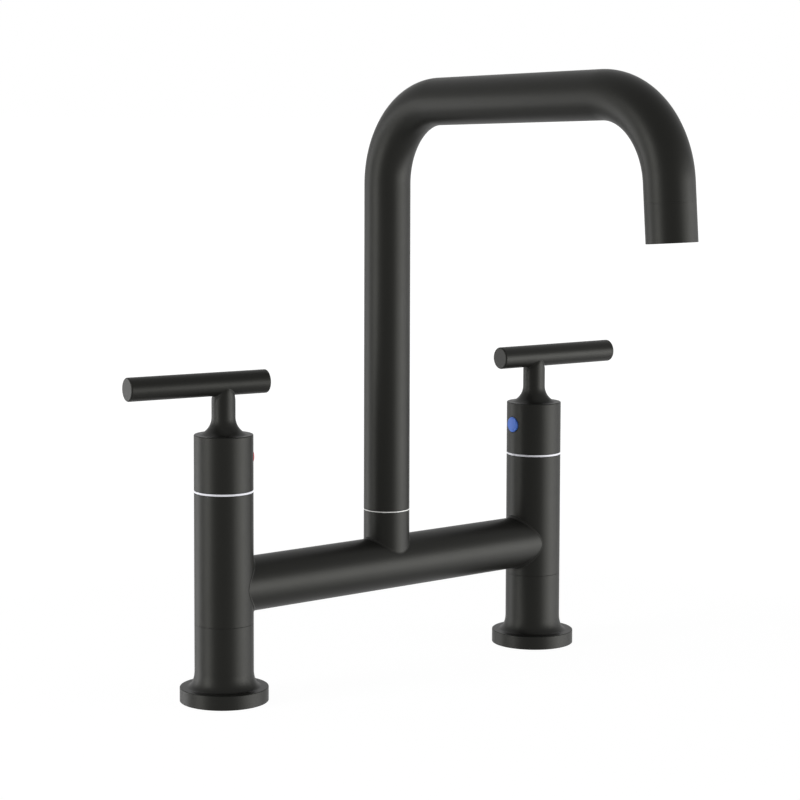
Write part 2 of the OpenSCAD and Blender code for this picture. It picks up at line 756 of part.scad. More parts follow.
// Arched tube, swept along its centre line: riser, bend, rising arm, bend and top of the drop
module spout_tube() {
    stations = concat(
        [[[0, spout_h0], 0]],
        [for (i = [0 : bend_steps]) let (turn = bend1_turn * i / bend_steps)
            [bend1_c + bend_r * [-cos(turn), sin(turn)], turn]],
        [for (i = [0 : bend_steps]) let (turn = bend1_turn + bend2_turn * i / bend_steps)
            [bend2_c + bend_r * [-cos(turn), sin(turn)], turn]],
        [[drop_start + (drop_l - nozzle_l) * drop_dir, bend1_turn + bend2_turn]]
    );
    count = len(stations);
    inner = count * skin_sides;
    last = (count - 1) * skin_sides;
    color(black) polyhedron(
        points = concat(
            [for (s = stations) each skin_ring(s, spout_r)],
            [for (s = stations) each skin_ring(s, spout_bore_r)]
        ),
        faces = concat(
            skin_faces(0, count, false), skin_faces(inner, count, true),
            end_faces(0, inner, false), end_faces(last, inner + last, true)
        )
    );
}

// The children on the outlet's face, with +Z up the drop's axis
module at_outlet() {
    translate([0, -outlet[0], outlet[1]]) rotate([-drop_lean, 0, 0]) children();
}

// Sleeve at the spout's end with a spigot inside the tube and the aerator's thread
module nozzle() {
    thread_r = spout_r - nozzle_wall;
    thread_top = aerator_recess + aerator_ring_l + aerator_gasket_t;
    color(black) at_outlet() difference() {
        rotate_extrude() polygon([
            [0, 0], [spout_r - nozzle_chamfer, 0], [spout_r, nozzle_chamfer],
            [spout_r, nozzle_l - nozzle_chamfer], [spout_r - nozzle_chamfer, nozzle_l],
            [spout_fit_r, nozzle_l], [spout_fit_r, nozzle_l + nozzle_spigot_l],
            [0, nozzle_l + nozzle_spigot_l]
        ]);
        translate([0, 0, -over]) cylinder(h = thread_top + over, r = thread_r);
        translate([0, 0, thread_top - over])
            cylinder(h = nozzle_l + nozzle_spigot_l, r = spout_fit_r - nozzle_spigot_wall);
    }
}

// Washer between the aerator and the nozzle's shoulder
module aerator_washer() {
    washer_r = spout_r - nozzle_wall - fit_gap;
    washer_h = aerator_recess + aerator_ring_l;
    color(rubber) at_outlet()
        pipe(washer_h, washer_h + aerator_gasket_t, washer_r, washer_r - aerator_gasket_w);
}

// Threaded ring that holds the aerator, with a lip under the screen
module aerator_ring() {
    ring_r = spout_r - nozzle_wall - fit_gap;
    bore_r = ring_r - aerator_ring_wall;
    color(black) at_outlet() union() {
        pipe(aerator_recess, aerator_recess + aerator_ring_l, ring_r, bore_r);
        pipe(aerator_recess, aerator_recess + screen_edge, ring_r, bore_r - screen_edge / 2);
    }
}

// Plastic insert that mixes air into the stream
module aerator_insert() {
    insert_r = spout_r - nozzle_wall - aerator_ring_wall - 2 * fit_gap;
    insert_h0 = aerator_recess + screen_edge + screen_t;
    insert_h1 = aerator_recess + aerator_ring_l;
    color(white) at_outlet() {
        pipe(insert_h0, insert_h1, insert_r, insert_r - aerator_ring_wall);
        difference() {
            translate([0, 0, insert_h1 - screen_t]) cylinder(h = screen_t, r = insert_r);
            for (i = [0 : jet_count - 1]) rotate([0, 0, i * 360 / jet_count])
                translate([insert_r / 2, 0, insert_h0]) cylinder(h = aerator_ring_l, d = jet_d);
        }
    }
}

// Square-holed screen at the outlet
module outlet_screen() {
    screen_r = spout_r - nozzle_wall - aerator_ring_wall - 2 * fit_gap;
    screen_h = aerator_recess + screen_edge;
    hole = screen_pitch - screen_bar;
    reach_r = screen_r - screen_edge;
    steps = floor(reach_r / screen_pitch);
    color(screen_grey) at_outlet() difference() {
        translate([0, 0, screen_h]) cylinder(h = screen_t, r = screen_r);
        for (i = [-steps : steps], j = [-steps : steps])
            if (norm([i, j]) * screen_pitch + hole * sqrt(1 / 2) < reach_r)
                translate([i * screen_pitch, j * screen_pitch, screen_h])
                    cube([hole, hole, 3 * screen_t], center = true);
    }
}

hot_foot();
cold_foot();
hot_deck_gasket();
cold_deck_gasket();
hot_column_body();
cold_column_body();
hot_joint_seal();
cold_joint_seal();
hot_seat_seal();
cold_seat_seal();
hot_cartridge_barrel();
cold_cartridge_barrel();
hot_fixed_disc();
cold_fixed_disc();
hot_moving_disc();
cold_moving_disc();
hot_spindle();
cold_spindle();
hot_spindle_seals();
cold_spindle_seals();
hot_bonnet_nut();
cold_bonnet_nut();
hot_glide_ring();
cold_glide_ring();
hot_handle_cap();
cold_handle_cap();
hot_lever_bar();
cold_lever_bar();
hot_grub_screw();
cold_grub_screw();
hot_index_button();
cold_index_button();
bridge_tube();
spout_socket();
swivel_bush();
spout_nipple();
nipple_seals();
snap_ring();
spout_tube();
nozzle();
aerator_washer();
aerator_ring();
aerator_insert();
outlet_screen();
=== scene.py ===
import json
import math

import bmesh
import bpy
import numpy as np
from mathutils import Matrix, Vector


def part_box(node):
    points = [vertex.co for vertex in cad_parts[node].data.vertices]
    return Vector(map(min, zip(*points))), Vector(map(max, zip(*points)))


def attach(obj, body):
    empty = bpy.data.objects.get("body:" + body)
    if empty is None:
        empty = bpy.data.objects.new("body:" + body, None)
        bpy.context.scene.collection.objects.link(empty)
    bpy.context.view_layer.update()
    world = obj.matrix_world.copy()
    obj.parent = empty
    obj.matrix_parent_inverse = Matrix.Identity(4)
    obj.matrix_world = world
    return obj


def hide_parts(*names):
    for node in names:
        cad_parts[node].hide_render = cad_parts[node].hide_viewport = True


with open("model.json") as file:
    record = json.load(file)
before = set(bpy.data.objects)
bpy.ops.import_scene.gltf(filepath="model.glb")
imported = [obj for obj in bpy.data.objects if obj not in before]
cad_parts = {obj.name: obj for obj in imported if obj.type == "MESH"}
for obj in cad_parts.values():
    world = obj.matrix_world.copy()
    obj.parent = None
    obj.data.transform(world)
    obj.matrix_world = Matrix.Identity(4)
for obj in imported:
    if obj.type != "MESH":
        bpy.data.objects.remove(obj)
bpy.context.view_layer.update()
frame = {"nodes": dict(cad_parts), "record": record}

# Sizes and places below are in millimetres, unless a comment says otherwise
MM = 0.001


def span(node):
    """Lowest and highest corner of a node of the frame, in millimetres."""
    low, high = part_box(node)
    return np.array(low) / MM, np.array(high) / MM


# Sizes of the frame
foot_low, foot_high = span("hot_foot")
column_low, column_high = span("hot_column_body")
glide_high = span("hot_glide_ring")[1]
cap_low, cap_high = span("hot_handle_cap")
lever_low, lever_high = span("hot_lever_bar")
bridge_low, bridge_high = span("bridge_tube")
stub_low, stub_high = span("spout_socket")
bush_high = span("swivel_bush")[1]
tube_low, tube_high = span("spout_tube")
gasket_low, gasket_high = span("hot_deck_gasket")

HOT_AXIS = (column_low[0] + column_high[0]) / 2
COLUMN_R = (column_high[0] - column_low[0]) / 2
COLUMN_TOP = column_high[2]
SEAM_H = foot_high[2]
FOOT_R = (foot_high[0] - foot_low[0]) / 2
BRIDGE_R = (bridge_high[2] - bridge_low[2]) / 2
BRIDGE_H = (bridge_high[2] + bridge_low[2]) / 2
STUB_R = (stub_high[0] - stub_low[0]) / 2
STUB_TOP = stub_high[2]
SPOUT_R = (tube_high[0] - tube_low[0]) / 2
SPOUT_H0 = tube_low[2]
CAP_H0 = cap_low[2]
LEVER_H = cap_high[2]
LEVER_R = (lever_high[2] - lever_low[2]) / 2
GASKET_R = (gasket_high[0] - gasket_low[0]) / 2

# Foot
RIM_H = 6.9
COVE_W = 3.9
COVE_H = 7.9
FOOT_EDGE = 0.4
SOLE_EDGE = 0.15
INLET_R = 9.6
INLET_DEPTH = 18
INLET_EDGE = 0.6
THREAD_PITCH = 1.814
THREAD_DEPTH = 0.9
THREAD_START = 0.3
THREAD_END = 0.5
THREAD_RUNOUT = 1
THREAD_ROWS_A_TURN = 12
GASKET_BORE_R = 15.5
GASKET_T = 1.5

# Column body
BODY_BORE_R = 11.5
SEAT_DEPTH = 35
WAY_R = 4.6
SPIGOT_R = 11.4
SPIGOT_L = 13
SPIGOT_BORE_R = 8.5
PORT_R = 9.1
PORT_BORE_R = 7.6
PORT_L = 9
BRIDGE_BORE_R = 10.85
FIT_GAP = 0.05

# Glide ring
GLIDE_W = 3.6
GLIDE_LIP_W = 1
GLIDE_LIP_L = 2

# Handle
CAP_H = 27
CAP_EDGE = 0.5
CAP_HOLLOW_R = 11.5
CAP_HOLLOW_H = 5
SPLINE_R = 4.05
SPLINE_L = 21.5
NECK_R = 5.8
NECK_TOP_R = 5.45
NECK_TAPER = 2.4
TAPER_STEPS = 8
FLARE_R = 8.9
FLARE_TURN = math.radians(70)
LEVER_LONG = 50.7
LEVER_SHORT = 23.1
LEVER_EDGE = 0.7
HOT_TURN = math.radians(-9)
COLD_TURN = math.radians(180 - 4.5)

# Index button
BUTTON_H = 15.5
BUTTON_R = 4.05
BUTTON_SEAT = 11.8
BUTTON_PROUD = 0.2
BUTTON_CROWN = 0.4
BUTTON_EDGE = 0.25
BUTTON_GAP = 0.08
HOLE_RIM = 0.18
CROWN_SHARE = 0.85
CROWN_STEPS = 13

# Square window of the cap's side that holds the button: half its width, the steps of its grid from the
# middle to the window's edge and to the hole's rim, the rim's own rows as shares of its radius, and the
# steps of the plain side that is left
WINDOW = 6.4
WINDOW_STEPS = 20
HOLE_STEPS = 14
RIM_OUT_SHARES = (0, 0, 0.3, 1, 1.7)
RIM_DOWN_SHARES = (1, 0.3, 0, 0)
REST_SIDES = 117

# Stub and bush
BUSH_BORE_R = 8.05
BUSH_R = 9.3
BUSH_L = 9
BUSH_EDGE = 0.08
BUSH_EDGE_STEPS = 4
STUB_SPIGOT_R = 9.5
STUB_SPIGOT_H = 6

# Spout
SPOUT_WALL = 1.5
BEND_R = 41.5
ARM_RISE = math.radians(1.7)
DROP_LEAN = math.radians(4.4)
ARM_H = 290
REACH = 196
DROP_L = 27
NOZZLE_L = 17.8
NOZZLE_SPIGOT_L = 7
NOZZLE_SPIGOT_R = 10.08
NOZZLE_BORE_R = 9.08
NOZZLE_THREAD_R = 10.35
NOZZLE_THREAD_L = 11.2
NOZZLE_EDGE = 0.25
NOZZLE_SEAM = 0.07
AERATOR_R = 10.3
AERATOR_BORE_R = 8.9
AERATOR_LIP_R = 8.45
AERATOR_LIP_T = 0.9
AERATOR_L = 9
AERATOR_RECESS = 0.4
AERATOR_EDGE = 0.25
AERATOR_LIP_EDGE = 0.2
AERATOR_BACK_EDGE = 0.1

# Beads of the welded joints: radius of a ball that rolls along both tubes, share of its hollow that
# the bead keeps, and the height of the bead's own edges
COLUMN_BEAD = (1.2, 0.35, 0.16)
STUB_BEAD = (1, 0.5, 0.05)
NECK_BEAD = (0.7, 1, 0)

# Softened edges, rows that keep flats flat beside them, and mesh steps
FINE_EDGE = 0.15
SUPPORT = 0.15
FAR_SUPPORT = 2
ARC_STEPS = 8
COVE_STEPS = 24
FLARE_STEPS = 14
BEND_STEPS = 48
ROUND_SIDES = 160
WELD_STEPS = 10
WELD_SINK = 0.02
MERGE_GAP = 0.0015
TINY = 1e-6


def unit(vectors):
    """Vectors at length one."""
    return vectors / np.linalg.norm(vectors, axis=-1, keepdims=True)


def rounded(corners, closed=True, steps=ARC_STEPS):
    """Outline through corners given as (radius, height, edge). At each corner an arc of radius `edge`
    touches both sides: its centre lies on the half-angle line at edge / sin(half angle), and its points
    turn evenly about that centre. One support point beyond each end keeps the flats flat."""
    corners = np.array(corners, float)
    points, edge = corners[:, :2], corners[:, 2:]
    before = np.roll(points, 1, axis=0) - points
    after = np.roll(points, -1, axis=0) - points
    if not closed:
        before[0], after[-1] = -after[0], -before[-1]
    length = np.linalg.norm(after, axis=1, keepdims=True)
    before, after = unit(before), unit(after)
    half = np.arccos(np.clip((before * after).sum(1, keepdims=True), -1, 1)) / 2
    turn = np.pi - 2 * half
    safe = np.maximum(turn, TINY)
    reach = edge * np.tan(turn / 2)
    bisector = before + after
    bisector = bisector / np.maximum(np.linalg.norm(bisector, axis=1, keepdims=True), TINY)
    centre = points + bisector * edge / np.sin(half)
    start, end = points + before * reach, points + after * reach
    free_after = np.maximum(length - reach - np.roll(reach, -1, axis=0), 0)
    free_before = np.roll(free_after, 1, axis=0)
    share = np.linspace(0, 1, steps + 1)[None, :, None]
    arc = centre[:, None] + (
        np.sin((1 - share) * safe[:, None]) * (start - centre)[:, None]
        + np.sin(share * safe[:, None]) * (end - centre)[:, None]
    ) / np.sin(safe[:, None])
    lead_in = start + before * np.minimum(SUPPORT, free_before / 3)
    lead_out = end + after * np.minimum(SUPPORT, free_after / 3)
    rows = np.concatenate([lead_in[:, None], arc, lead_out[:, None]], axis=1)
    if closed:
        return rows.reshape(-1, 2)
    return np.concatenate([points[:1], rows[1:-1].reshape(-1, 2), points[-1:]])


def turned(outline, sides=ROUND_SIDES, wave=None):
    """Solid of revolution: an outline point (radius, height) goes round the axis as
    x = radius cos(turn), y = radius sin(turn). A wave adds a radius that depends on point and turn."""
    turn = np.arange(sides) * 2 * np.pi / sides
    radius = outline[:, :1] + np.zeros((1, sides))
    height = outline[:, 1:] + np.zeros((1, sides))
    if wave is not None:
        radius = radius + wave(turn[None, :], radius, height)
    return np.stack([radius * np.cos(turn), radius * np.sin(turn), height], axis=2)


def placed(points, turn_x=0, turn_z=0, base=(0, 0, 0)):
    """Points turned about X, then about Z, then moved to the base."""
    turn = Matrix.Rotation(turn_z, 3, "Z") @ Matrix.Rotation(turn_x, 3, "X")
    return points @ np.array(turn).T + np.array(base)


def skin(name, grid, body, look, replaced=(), closed=True):
    """Mesh piece of one closed skin. Each four neighbours of the grid make a face, the columns close on
    themselves, and so do the rows, unless they run from pole to pole. Points that meet are merged, and
    the faces are turned outwards by the sign of the volume that they enclose."""
    rows, columns = grid.shape[:2]
    points = grid.reshape(-1, 3) * MM
    row = np.arange(rows if closed else rows - 1)[:, None] * columns
    next_row = (row + columns) % (rows * columns)
    column = np.arange(columns)[None, :]
    next_column = (column + 1) % columns
    faces = np.stack(
        [row + column, row + next_column, next_row + next_column, next_row + column], axis=2
    ).reshape(-1, 4)
    corner = points[faces]
    volume = (corner[:, 0] * np.cross(corner[:, 1], corner[:, 2])).sum()
    volume += (corner[:, 0] * np.cross(corner[:, 2], corner[:, 3])).sum()
    if volume < 0:
        faces = faces[:, ::-1]
    mesh = bpy.data.meshes.new(name)
    mesh.from_pydata(points.tolist(), [], faces.tolist())
    merged = bmesh.new()
    merged.from_mesh(mesh)
    bmesh.ops.remove_doubles(merged, verts=merged.verts, dist=MERGE_GAP * MM)
    merged.to_mesh(mesh)
    merged.free()
    mesh.polygons.foreach_set("use_smooth", np.ones(len(mesh.polygons), bool))
    mesh.materials.append(look)
    piece = bpy.data.objects.new(name, mesh)
    bpy.context.scene.collection.objects.link(piece)
    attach(piece, body)
    if replaced:
        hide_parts(*replaced)
    return piece


# Materials


class Value:
    """A socket of a material, with the arithmetic that Math nodes do."""

    def __init__(self, look, socket):
        self.look = look
        self.socket = socket

    def math(self, operation, first, second):
        node = self.look.node("ShaderNodeMath", {"operation": operation}, {0: first, 1: second})
        return Value(self.look, node.outputs[0])

    def __add__(self, other):
        return self.math("ADD", self, other)

    def __radd__(self, other):
        return self.math("ADD", other, self)

    def __sub__(self, other):
        return self.math("SUBTRACT", self, other)

    def __rsub__(self, other):
        return self.math("SUBTRACT", other, self)

    def __mul__(self, other):
        return self.math("MULTIPLY", self, other)

    def __rmul__(self, other):
        return self.math("MULTIPLY", other, self)


class Look:
    """A material and its node tree, with one method for every node."""

    def __init__(self, name):
        self.material = bpy.data.materials.new(name)
        self.material.use_nodes = True
        self.tree = self.material.node_tree
        self.tree.nodes.clear()
        self.output = self.node("ShaderNodeOutputMaterial")
        self.places = self.node("ShaderNodeTexCoord").outputs["Object"]

    def node(self, kind, settings=None, values=None):
        """A node of a type: first its settings, then the values or links of its sockets."""
        node = self.tree.nodes.new(kind)
        for name, setting in (settings or {}).items():
            if name == "stops":
                for stop, (position, colour) in zip(self.stops(node, len(setting)), setting):
                    stop.position = position
                    stop.color = colour
            else:
                setattr(node, name, setting)
        for name, value in (values or {}).items():
            value = value.socket if isinstance(value, Value) else value
            if isinstance(value, bpy.types.NodeSocket):
                self.tree.links.new(value, node.inputs[name])
            else:
                node.inputs[name].default_value = value
        return node

    def stops(self, ramp, count):
        """The ramp's stops, as many as asked for."""
        while len(ramp.color_ramp.elements) < count:
            ramp.color_ramp.elements.new(1)
        return ramp.color_ramp.elements

    def grain(self, size, detail=2, stretch=(1, 1, 1)):
        """Noise from 0 to 1 with lumps of about `size` millimetres, drawn out along an axis."""
        scale = tuple(1 / (size * MM * share) for share in stretch)
        moved = self.node(
            "ShaderNodeMapping", {"vector_type": "POINT"}, {"Vector": self.places, "Scale": scale}
        )
        noise = self.node(
            "ShaderNodeTexNoise", None, {"Vector": moved.outputs[0], "Scale": 1, "Detail": detail}
        )
        return Value(self, noise.outputs["Fac"])

    def between(self, share, low, high):
        """Colour between two colours, by a share from 0 to 1."""
        node = self.node("ShaderNodeMix", {"data_type": "RGBA"}, {0: share, 6: low, 7: high})
        return node.outputs[2]

    def relief(self, height, depth, strength=1):
        """Normal of a surface that rises by `depth` millimetres where the height is 1."""
        node = self.node(
            "ShaderNodeBump", None, {"Strength": strength, "Distance": depth * MM, "Height": height}
        )
        return node.outputs[0]

    def finish(self, **sockets):
        """Ends the tree in one shader. Socket names are written with _ for a space."""
        values = {name.replace("_", " "): value for name, value in sockets.items()}
        shader = self.node("ShaderNodeBsdfPrincipled", None, values)
        self.tree.links.new(shader.outputs[0], self.output.inputs["Surface"])
        return self.material


def powder_coat():
    """Matte black powder coat: a fine grain, a faint orange peel and slightly uneven sheen."""
    look = Look("matte_black_powder_coat")
    grain = look.grain(0.22, detail=3)
    peel = look.grain(1.6, detail=2)
    drift = look.grain(14, detail=2)
    return look.finish(
        Base_Color=look.between(grain, (0.0046, 0.0046, 0.0041, 1), (0.0068, 0.0068, 0.0061, 1)),
        Roughness=0.37 + 0.06 * grain + 0.05 * drift,
        Specular_IOR_Level=0.15,
        Specular_Tint=(1, 1, 0.93, 1),
        Normal=look.relief(0.6 * grain + peel, depth=0.012, strength=0.8),
    )


def plastic(name, colour, deeper, roughness, shine=0.4):
    """Moulded plastic: even colour with a faint cloud and a fine satin grain."""
    look = Look(name)
    cloud = look.grain(3, detail=2)
    grain = look.grain(0.12, detail=2)
    return look.finish(
        Base_Color=look.between(cloud, colour, deeper),
        Roughness=roughness + 0.06 * grain,
        Specular_IOR_Level=shine,
        Normal=look.relief(grain, depth=0.003, strength=0.6),
    )


def metal(name, colour, deeper, roughness):
    """Turned metal: fine rings along the height, uneven polish and slight staining."""
    look = Look(name)
    rings = look.grain(0.2, detail=2, stretch=(40, 40, 1))
    stain = look.grain(5, detail=3)
    return look.finish(
        Base_Color=look.between(stain, colour, deeper),
        Metallic=1.0,
        Roughness=roughness + 0.12 * rings + 0.06 * stain,
        Normal=look.relief(rings, depth=0.004, strength=0.7),
    )


def soft_rubber():
    """Black rubber with a dusty, very fine grain."""
    look = Look("black_rubber")
    dust = look.grain(0.5, detail=3)
    return look.finish(
        Base_Color=look.between(dust, (0.012, 0.012, 0.012, 1), (0.024, 0.024, 0.024, 1)),
        Roughness=0.72 + 0.12 * dust,
        Specular_IOR_Level=0.3,
        Normal=look.relief(dust, depth=0.01, strength=0.5),
    )


def glazed():
    """Dense off-white ceramic, ground smooth, with faint speckles."""
    look = Look("ground_ceramic")
    speckle = look.grain(0.4, detail=3)
    return look.finish(
        Base_Color=look.between(speckle, (0.86, 0.85, 0.80, 1), (0.80, 0.79, 0.74, 1)),
        Roughness=0.14 + 0.08 * speckle,
        Normal=look.relief(speckle, depth=0.001, strength=0.5),
    )


black = powder_coat()
pale = plastic(
    "pale_plastic", (0.66, 0.66, 0.70, 1), (0.61, 0.61, 0.65, 1), roughness=0.34
)
white = plastic(
    "white_plastic", (0.74, 0.74, 0.72, 1), (0.69, 0.69, 0.67, 1), roughness=0.34
)
red = plastic(
    "hot_red_plastic", (0.50, 0.022, 0.028, 1), (0.42, 0.018, 0.024, 1), roughness=0.4, shine=0.25
)
blue = plastic(
    "cold_blue_plastic", (0.055, 0.145, 0.52, 1), (0.04, 0.12, 0.46, 1), roughness=0.4, shine=0.2
)
grey = plastic(
    "screen_grey_plastic", (0.17, 0.175, 0.18, 1), (0.14, 0.145, 0.15, 1), roughness=0.4
)
brass = metal(
    "turned_brass", (0.78, 0.57, 0.25, 1), (0.66, 0.46, 0.19, 1), roughness=0.22
)
steel = metal(
    "steel", (0.56, 0.56, 0.57, 1), (0.47, 0.47, 0.48, 1), roughness=0.26
)
rubber = soft_rubber()
ceramic = glazed()


# Foot


def inlet_thread(turn, radius, height):
    """Right-handed thread of the inlet: the bore widens by a triangle wave of height / pitch minus
    turn / full turn, and fades out at the mouth and near the end."""
    phase = (height / THREAD_PITCH - turn / (2 * np.pi)) % 1
    tooth = 1 - np.abs(2 * phase - 1)
    inside = np.abs(radius - INLET_R) < FIT_GAP
    fade = np.clip((height - INLET_EDGE) / THREAD_PITCH, 0, 1)
    fade = fade * np.clip((INLET_DEPTH - THREAD_RUNOUT - height) / THREAD_PITCH, 0, 1)
    return inside * fade * THREAD_DEPTH * tooth


def foot_outline():
    """Closed outline of the foot: flange, cove, column, spigot's seat, bore, inlet and gasket groove.
    The cove is a quarter of an ellipse, (column radius + w (1 - sin t), rim height + h (1 - cos t))."""
    seat = SEAM_H - SPIGOT_L - FIT_GAP
    outside = rounded(
        [
            (GASKET_R + FIT_GAP, 0, FINE_EDGE),
            (FOOT_R, 0, SOLE_EDGE),
            (FOOT_R, RIM_H, FOOT_EDGE),
            (COLUMN_R + COVE_W, RIM_H, 0),
        ],
        closed=False,
    )[1:-1]
    turn = np.linspace(0, np.pi / 2, COVE_STEPS + 1)
    cove = np.stack(
        [COLUMN_R + COVE_W * (1 - np.sin(turn)), RIM_H + COVE_H * (1 - np.cos(turn))], axis=1
    )
    inside = rounded(
        [
            (COLUMN_R, RIM_H + COVE_H, 0),
            (COLUMN_R, SEAM_H, FINE_EDGE),
            (SPIGOT_R + FIT_GAP, SEAM_H, FINE_EDGE),
            (SPIGOT_R + FIT_GAP, seat, FINE_EDGE),
            (SPIGOT_BORE_R, seat, FINE_EDGE),
            (SPIGOT_BORE_R, INLET_DEPTH, FINE_EDGE),
            (INLET_R, INLET_DEPTH, FINE_EDGE),
            (INLET_R, 0, INLET_EDGE),
            (GASKET_BORE_R - FIT_GAP, 0, FINE_EDGE),
            (GASKET_BORE_R - FIT_GAP, GASKET_T, FINE_EDGE),
            (GASKET_R + FIT_GAP, GASKET_T, FINE_EDGE),
            (GASKET_R + FIT_GAP, 0, 0),
        ],
        closed=False,
    )[1:-1]
    # The threaded stretch gets close rows of its own
    bore = np.abs(inside[:, 0] - INLET_R) < TINY
    first = np.argmax(bore)
    step = THREAD_PITCH / THREAD_ROWS_A_TURN
    rows = np.arange(INLET_DEPTH - THREAD_END, INLET_EDGE + THREAD_START, -step)
    thread = np.stack([np.full(len(rows), INLET_R), rows], axis=1)
    return np.concatenate([outside, cove, inside[: first + 2], thread, inside[first + 2 :]])


def column_outline():
    """Closed outline of the column body: side, rim, bore, valve seat, inlet way, spigot."""
    seat = COLUMN_TOP - SEAT_DEPTH
    foot_end = SEAM_H - SPIGOT_L
    return rounded(
        [
            (COLUMN_R, SEAM_H, FINE_EDGE),
            (COLUMN_R, COLUMN_TOP, FINE_EDGE),
            (BODY_BORE_R, COLUMN_TOP, FINE_EDGE),
            (BODY_BORE_R, seat, FINE_EDGE),
            (WAY_R, seat, FINE_EDGE),
            (WAY_R, SEAM_H, FINE_EDGE),
            (SPIGOT_BORE_R, SEAM_H, FINE_EDGE),
            (SPIGOT_BORE_R, foot_end, FINE_EDGE),
            (SPIGOT_R, foot_end, FINE_EDGE),
            (SPIGOT_R, SEAM_H, 0),
        ]
    )


def glide_outline():
    """Closed outline of the pale ring between column and handle, with its lip inside the column."""
    lip_r = BODY_BORE_R - FIT_GAP
    return rounded(
        [
            (COLUMN_R, COLUMN_TOP, FINE_EDGE),
            (COLUMN_R, glide_high[2], FINE_EDGE),
            (COLUMN_R - GLIDE_W, glide_high[2], FINE_EDGE),
            (lip_r - GLIDE_LIP_W, COLUMN_TOP, FINE_EDGE),
            (lip_r - GLIDE_LIP_W, COLUMN_TOP - GLIDE_LIP_L, FINE_EDGE),
            (lip_r, COLUMN_TOP - GLIDE_LIP_L, FINE_EDGE),
            (lip_r, COLUMN_TOP, 0),
        ]
    )


def gasket_outline():
    """Closed outline of the flat gasket in the foot's underside."""
    top = GASKET_T - FIT_GAP
    return rounded(
        [
            (GASKET_R, 0, FINE_EDGE),
            (GASKET_R, top, FINE_EDGE),
            (GASKET_BORE_R, top, FINE_EDGE),
            (GASKET_BORE_R, 0, FINE_EDGE),
        ]
    )


# Handle


def weld(standing_r, carrying_r, bead, turn):
    """Bead between a standing tube and the tube that carries it, of radii rs and rc. A ball of radius b
    touches both where its centre is (u, v, w) = ((rs + b) cos t, (rs + b) sin t,
    sqrt((rc + b)^2 - v^2)), along the carrying tube, across it and up the standing tube. The bead lies
    between the straight line and the ball's arc that join the two touching points, and its own edges
    stand a little off the tubes. Rows run from the standing tube to the carrying one."""
    ball, hollow, rise = bead
    u = (standing_r + ball) * np.cos(turn)
    v = (standing_r + ball) * np.sin(turn)
    w = np.sqrt(np.maximum((carrying_r + ball) ** 2 - v**2, 0))
    centre = np.stack([u, v, w], axis=-1)
    to_standing = -np.stack([np.cos(turn), np.sin(turn), np.zeros_like(turn)], axis=-1)
    to_carrying = -unit(np.stack([np.zeros_like(turn), v, w], axis=-1))
    share = np.linspace(0, 1, WELD_STEPS + 1)[:, None, None]
    straight = (1 - share) * to_standing + share * to_carrying
    lifted = rise * ((share > 0) & (share < 1))
    return centre + ball * (1 - hollow) * straight + (ball * hollow - lifted) * unit(straight)


def cap_outlines():
    """Outlines of the handle below and above the band that holds the button, from pole to pole."""
    flare_w = FLARE_R * (1 - math.cos(FLARE_TURN))
    tangent = flare_w / math.sin(FLARE_TURN)
    flare_end = CAP_H + tangent * math.cos(FLARE_TURN)
    lower = rounded(
        [
            (0, SPLINE_L, 0),
            (SPLINE_R, SPLINE_L, FINE_EDGE),
            (SPLINE_R, CAP_HOLLOW_H, FINE_EDGE),
            (CAP_HOLLOW_R, CAP_HOLLOW_H, FINE_EDGE),
            (CAP_HOLLOW_R, 0, FINE_EDGE),
            (COLUMN_R, 0, FINE_EDGE),
            (COLUMN_R, BUTTON_H, 0),
        ],
        closed=False,
    )[:-1]
    upper = rounded(
        [
            (COLUMN_R, BUTTON_H, 0),
            (COLUMN_R, CAP_H, CAP_EDGE),
            (NECK_R + flare_w, CAP_H, 0),
            (NECK_R, flare_end, FLARE_R),
            (NECK_R, LEVER_H - CAP_H0, 0),
        ],
        closed=False,
        steps=FLARE_STEPS,
    )[1:-1]
    return lower, upper


